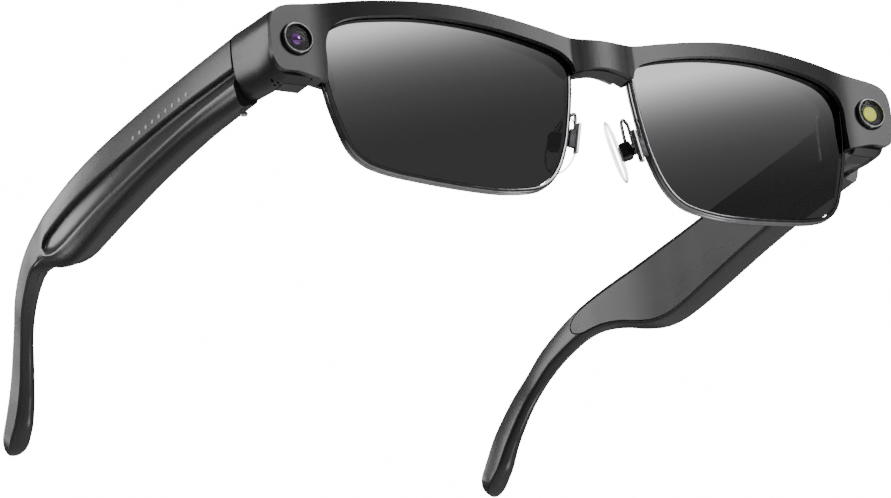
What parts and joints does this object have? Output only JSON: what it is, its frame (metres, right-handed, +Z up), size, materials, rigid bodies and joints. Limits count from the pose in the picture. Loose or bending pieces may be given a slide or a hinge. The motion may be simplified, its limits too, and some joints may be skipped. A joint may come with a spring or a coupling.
{
  "type": "smart glasses",
  "caption": "Brow-line camera glasses with tinted lenses, metal lower rims, rocking nose pads and folding temples that hold the electronics.",
  "frame": {"origin": "centre of the bounding box, on the plane that the lens rims and the ear tips rest on", "axes": "+X to the wearer's left, across the face; +Y back along the open temples; +Z up"},
  "size_m": [0.157, 0.1682, 0.0406],
  "materials": {
    "matt_black": "matt moulded",
    "satin_black": "satin moulded",
    "gloss_black": "gloss",
    "tinted_lens": "mirror-smooth grey gradient tint",
    "gunmetal": "dark polished",
    "steel": "polished",
    "camera_glass": "coated",
    "clear_window": "clear",
    "phosphor": "matt yellow",
    "circuit_board": "solder mask",
    "battery_foil": "foil",
    "silicone": "clear, soft"
  },
  "bodies": {
    "front": {"front_cover": "matt_black", "rear_bar": "satin_black", "bridge_brace": "gunmetal", "camera_ring": "gloss_black", "camera_glass": "camera_glass", "camera_barrel": "gloss_black", "camera_board": "circuit_board", "lamp_ring": "gloss_black", "lamp_window": "clear_window", "lamp_emitter": "phosphor", "lamp_board": "circuit_board", "lens_left": "tinted_lens", "lower_rim_left": "gunmetal", "end_shell_left": "satin_black", "hinge_leaf_front_left": "steel", "hinge_screw_left": "steel", "pad_plate_left": "steel", "pad_arm_left": "steel", "lens_right": "tinted_lens", "lower_rim_right": "gunmetal", "end_shell_right": "satin_black", "hinge_leaf_front_right": "steel", "hinge_screw_right": "steel", "pad_plate_right": "steel", "pad_arm_right": "steel"},
    "temple_left": {"temple_shell_left": "matt_black", "inner_cover_left": "satin_black", "main_board_left": "circuit_board", "battery_left": "battery_foil", "speaker_left": "steel", "hinge_leaf_temple_left": "steel"},
    "pad_unit_left": {"nose_pad_left": "silicone", "pad_box_left": "gunmetal"},
    "temple_right": {"temple_shell_right": "matt_black", "inner_cover_right": "satin_black", "main_board_right": "circuit_board", "battery_right": "battery_foil", "speaker_right": "steel", "hinge_leaf_temple_right": "steel", "charge_contact": "steel"},
    "pad_unit_right": {"nose_pad_right": "silicone", "pad_box_right": "gunmetal"}
  },
  "joints": [
    {"name": "temple_hinge_left", "type": "hinge", "parent": "front", "child": "temple_left", "pos_m": [0.069, -0.06102, 0.03066], "axis": [0, -0.0384, 0.9993], "range_deg": [0, 88]},
    {"name": "nose_pad_rock_left", "type": "hinge", "parent": "front", "child": "pad_unit_left", "pos_m": [0.00835, -0.07471, 0.01582], "axis": [0.4782, 0.8598, 0.1793], "range_deg": [-8, 8]},
    {"name": "temple_hinge_right", "type": "hinge", "parent": "front", "child": "temple_right", "pos_m": [-0.069, -0.06102, 0.03066], "axis": [0, 0.0384, -0.9993], "range_deg": [0, 80]},
    {"name": "nose_pad_rock_right", "type": "hinge", "parent": "front", "child": "pad_unit_right", "pos_m": [-0.00835, -0.07471, 0.01582], "axis": [-0.4782, 0.8598, 0.1793], "range_deg": [-8, 8]}
  ]
}
